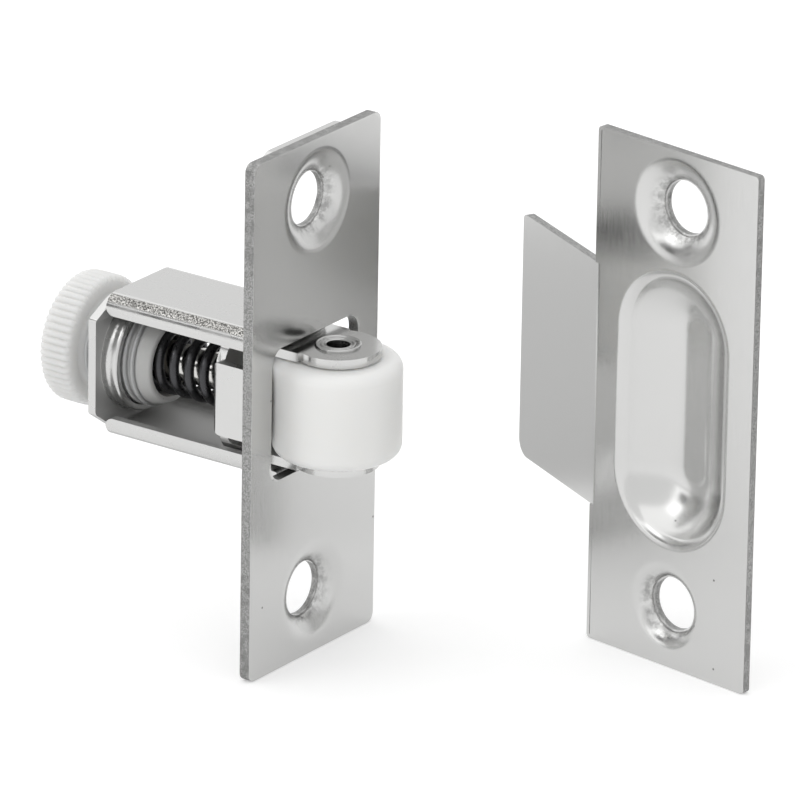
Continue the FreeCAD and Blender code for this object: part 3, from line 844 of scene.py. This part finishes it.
for place, way in ((spring_back, (-1, 0, 0)), (spring_front, (1, 0, 0))):
    everything = spring_bm.verts[:] + spring_bm.edges[:] + spring_bm.faces[:]
    bmesh.ops.bisect_plane(spring_bm, geom=everything, dist=1e-4, plane_co=(place, 0, 0), plane_no=way,
                           clear_outer=True)
bmesh.ops.holes_fill(spring_bm, edges=[e for e in spring_bm.edges if e.is_boundary], sides=0)
print("the open turns lie", round(open_pitch, 2), "mm apart")
spring = show(spring_bm, "coil_spring", "spring", "compression_spring", wire_finish,
              sharp=50)
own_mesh(spring)

# %% [markdown]
# ## Floor
# The floor is pale paper that takes the soft shadow. It could be lit until it is white, but then the metal
# would be too bright as well. So it glows a little, and only for what looks at it directly: the camera,
# and rays that come off gloss or through glass.

# %% Floor
floor_half = 2.5
floor_gap = 0.05
floor_glow = 0.3


def looked_at(tree):
    """1 for rays from the camera, off gloss or through glass, and 0 for those that light the catch."""
    path = add_node(tree, "ShaderNodeLightPath")
    seen = add_node(tree, "ShaderNodeMath", {0: path.outputs["Is Camera Ray"],
                                             1: path.outputs["Is Glossy Ray"]}, operation="MAXIMUM")
    through = add_node(tree, "ShaderNodeMath", {0: seen.outputs[0], 1: path.outputs["Is Transmission Ray"]},
                       operation="MAXIMUM")
    return through.outputs[0]


paper, paper_tree, paper_shader = new_finish("floor_paper", "#e9e9e9", 0.0, 0.9)[:3]
glow = add_node(paper_tree, "ShaderNodeMath", {0: looked_at(paper_tree), 1: floor_glow}, operation="MULTIPLY")
paper_shader.inputs["Emission Color"].default_value = linear("#ffffff")
paper_tree.links.new(glow.outputs[0], paper_shader.inputs["Emission Strength"])
floor_bm = bmesh.new()
bmesh.ops.create_grid(floor_bm, x_segments=1, y_segments=1, size=floor_half)
bmesh.ops.translate(floor_bm, verts=floor_bm.verts, vec=(0, 0, -(plate_half_height + floor_gap) * MM))
floor = new_object(floor_bm, "floor", paper)
print("floor lies at", round(floor.data.vertices[0].co.z / MM, 3), "mm")

# %% [markdown]
# ## Grey cards
# Bright metal shows its surroundings, so the surroundings are the real subject here. More lamps would only
# make it whiter. A photographer lays grey cards beside it instead, to give it its greys: a dark one serves
# the face plate and a light one the lip, and one that stands in front draws the dark lines in the rounded
# forms. Only reflections see them.

# %% Grey cards
def card(name, web, width, height, place):
    """A grey card that only reflections see, so that it neither shows nor shades."""
    bm = bmesh.new()
    bmesh.ops.create_grid(bm, x_segments=1, y_segments=1, size=0.5)
    bmesh.ops.scale(bm, verts=bm.verts, vec=(width * MM, height * MM, 1))
    bmesh.ops.transform(bm, matrix=place, verts=bm.verts)
    made = new_object(bm, name, new_finish(name + "_paper", web, 0.0, 1.0)[0])
    made.visible_camera = made.visible_diffuse = made.visible_shadow = False
    print(name, "is", width, "by", height, "mm")


just_above_floor = (1 - plate_half_height) * MM
card("dark_card", "#7c7c7c", 45, 60, Matrix.Translation((0.088, 0.095, just_above_floor)))
card("light_card", "#dcdcdc", 88, 60, Matrix.Translation((-0.062, 0.030, just_above_floor)))
upright = Matrix.Rotation(math.radians(-48), 4, "Z") @ Matrix.Rotation(math.radians(90), 4, "X")
card("standing_card", "#2c2c2c", 260, 90, Matrix.Translation((-0.215, -0.19, 0.095)) @ upright)

# %% [markdown]
# ## Lamps and world
# Two large softboxes and a white world light the catch. Small lamps would give as much light, but with
# hard shadows and hot spots in the plating. The world is a little weaker where it only lights, so that pale
# surfaces keep their tone.

# %% Lamps and world
lamps_aim = Vector((0.01, 0.01, 0))


def softbox(name, size, power, position):
    """A rectangular lamp that looks at the catch; sizes and places are in metres, the power in watts."""
    light = bpy.data.lights.new(name, "AREA")
    light.shape = "RECTANGLE"
    light.size, light.size_y = size
    light.energy = power
    holder = bpy.data.objects.new(name, light)
    holder.location = position
    holder.rotation_euler = (lamps_aim - Vector(position)).to_track_quat("-Z", "Y").to_euler()
    bpy.context.scene.collection.objects.link(holder)
    print(name, "stands", round((lamps_aim - Vector(position)).length, 2), "m away")


softbox("top_softbox", (1.8, 1.8), 4.4, (-0.25, -0.1, 0.9))
softbox("front_softbox", (0.6, 0.8), 1.2, (-0.5, -0.8, 0.45))

world = bpy.data.worlds.new("studio")
world.use_nodes = True
background = world.node_tree.nodes["Background"]
strength = add_node(world.node_tree, "ShaderNodeMapRange", {0: looked_at(world.node_tree), 3: 0.8, 4: 1.0})
world.node_tree.links.new(strength.outputs[0], background.inputs["Strength"])
background.inputs["Color"].default_value = linear("#ffffff")
bpy.context.scene.world = world
bpy.context.scene.view_settings.view_transform = "Standard"
